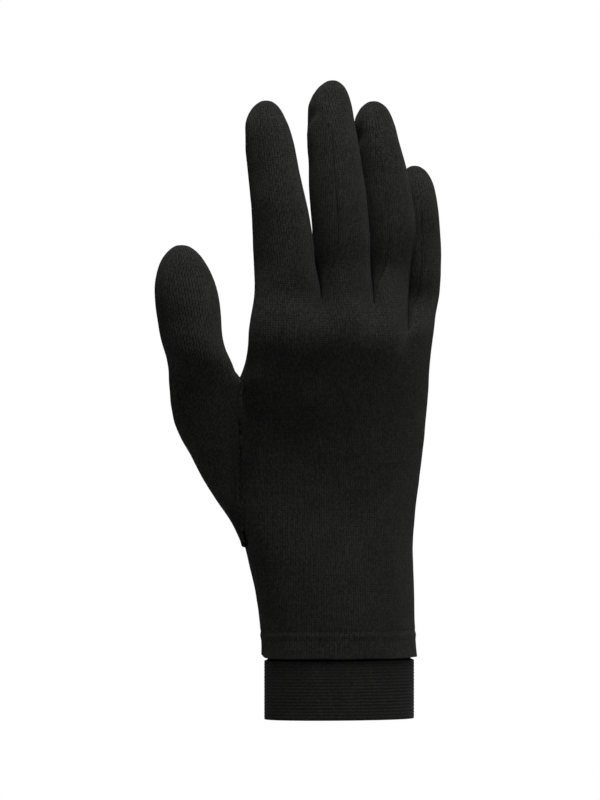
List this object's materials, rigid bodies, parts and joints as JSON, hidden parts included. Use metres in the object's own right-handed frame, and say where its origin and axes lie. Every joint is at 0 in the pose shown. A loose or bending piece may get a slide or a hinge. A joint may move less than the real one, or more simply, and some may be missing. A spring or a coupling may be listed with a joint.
{
  "type": "glove liner",
  "caption": "Thin knitted glove liner for the right hand, holding the form of the hand, with a set-in thumb, strips between the fingers and a ribbed elastic cuff.",
  "frame": {"origin": "centre of the wrist opening, at the height of the cuff's lower edge", "axes": "+Z along the hand towards the fingertips, -Y out of the back of the hand towards its viewer, +X across the hand towards the little finger, so that the thumb lies towards -X"},
  "size_m": [0.1138, 0.0584, 0.256],
  "materials": {
    "knit": "matte fine jersey knit, black",
    "elastic_rib": "matte ribbed elastic knit, black"
  },
  "bodies": {
    "root": {"hand": "knit", "thumb": "knit", "fourchette_index_middle": "knit", "fourchette_middle_ring": "knit", "fourchette_ring_little": "knit", "cuff_band": "elastic_rib"}
  },
  "joints": []
}
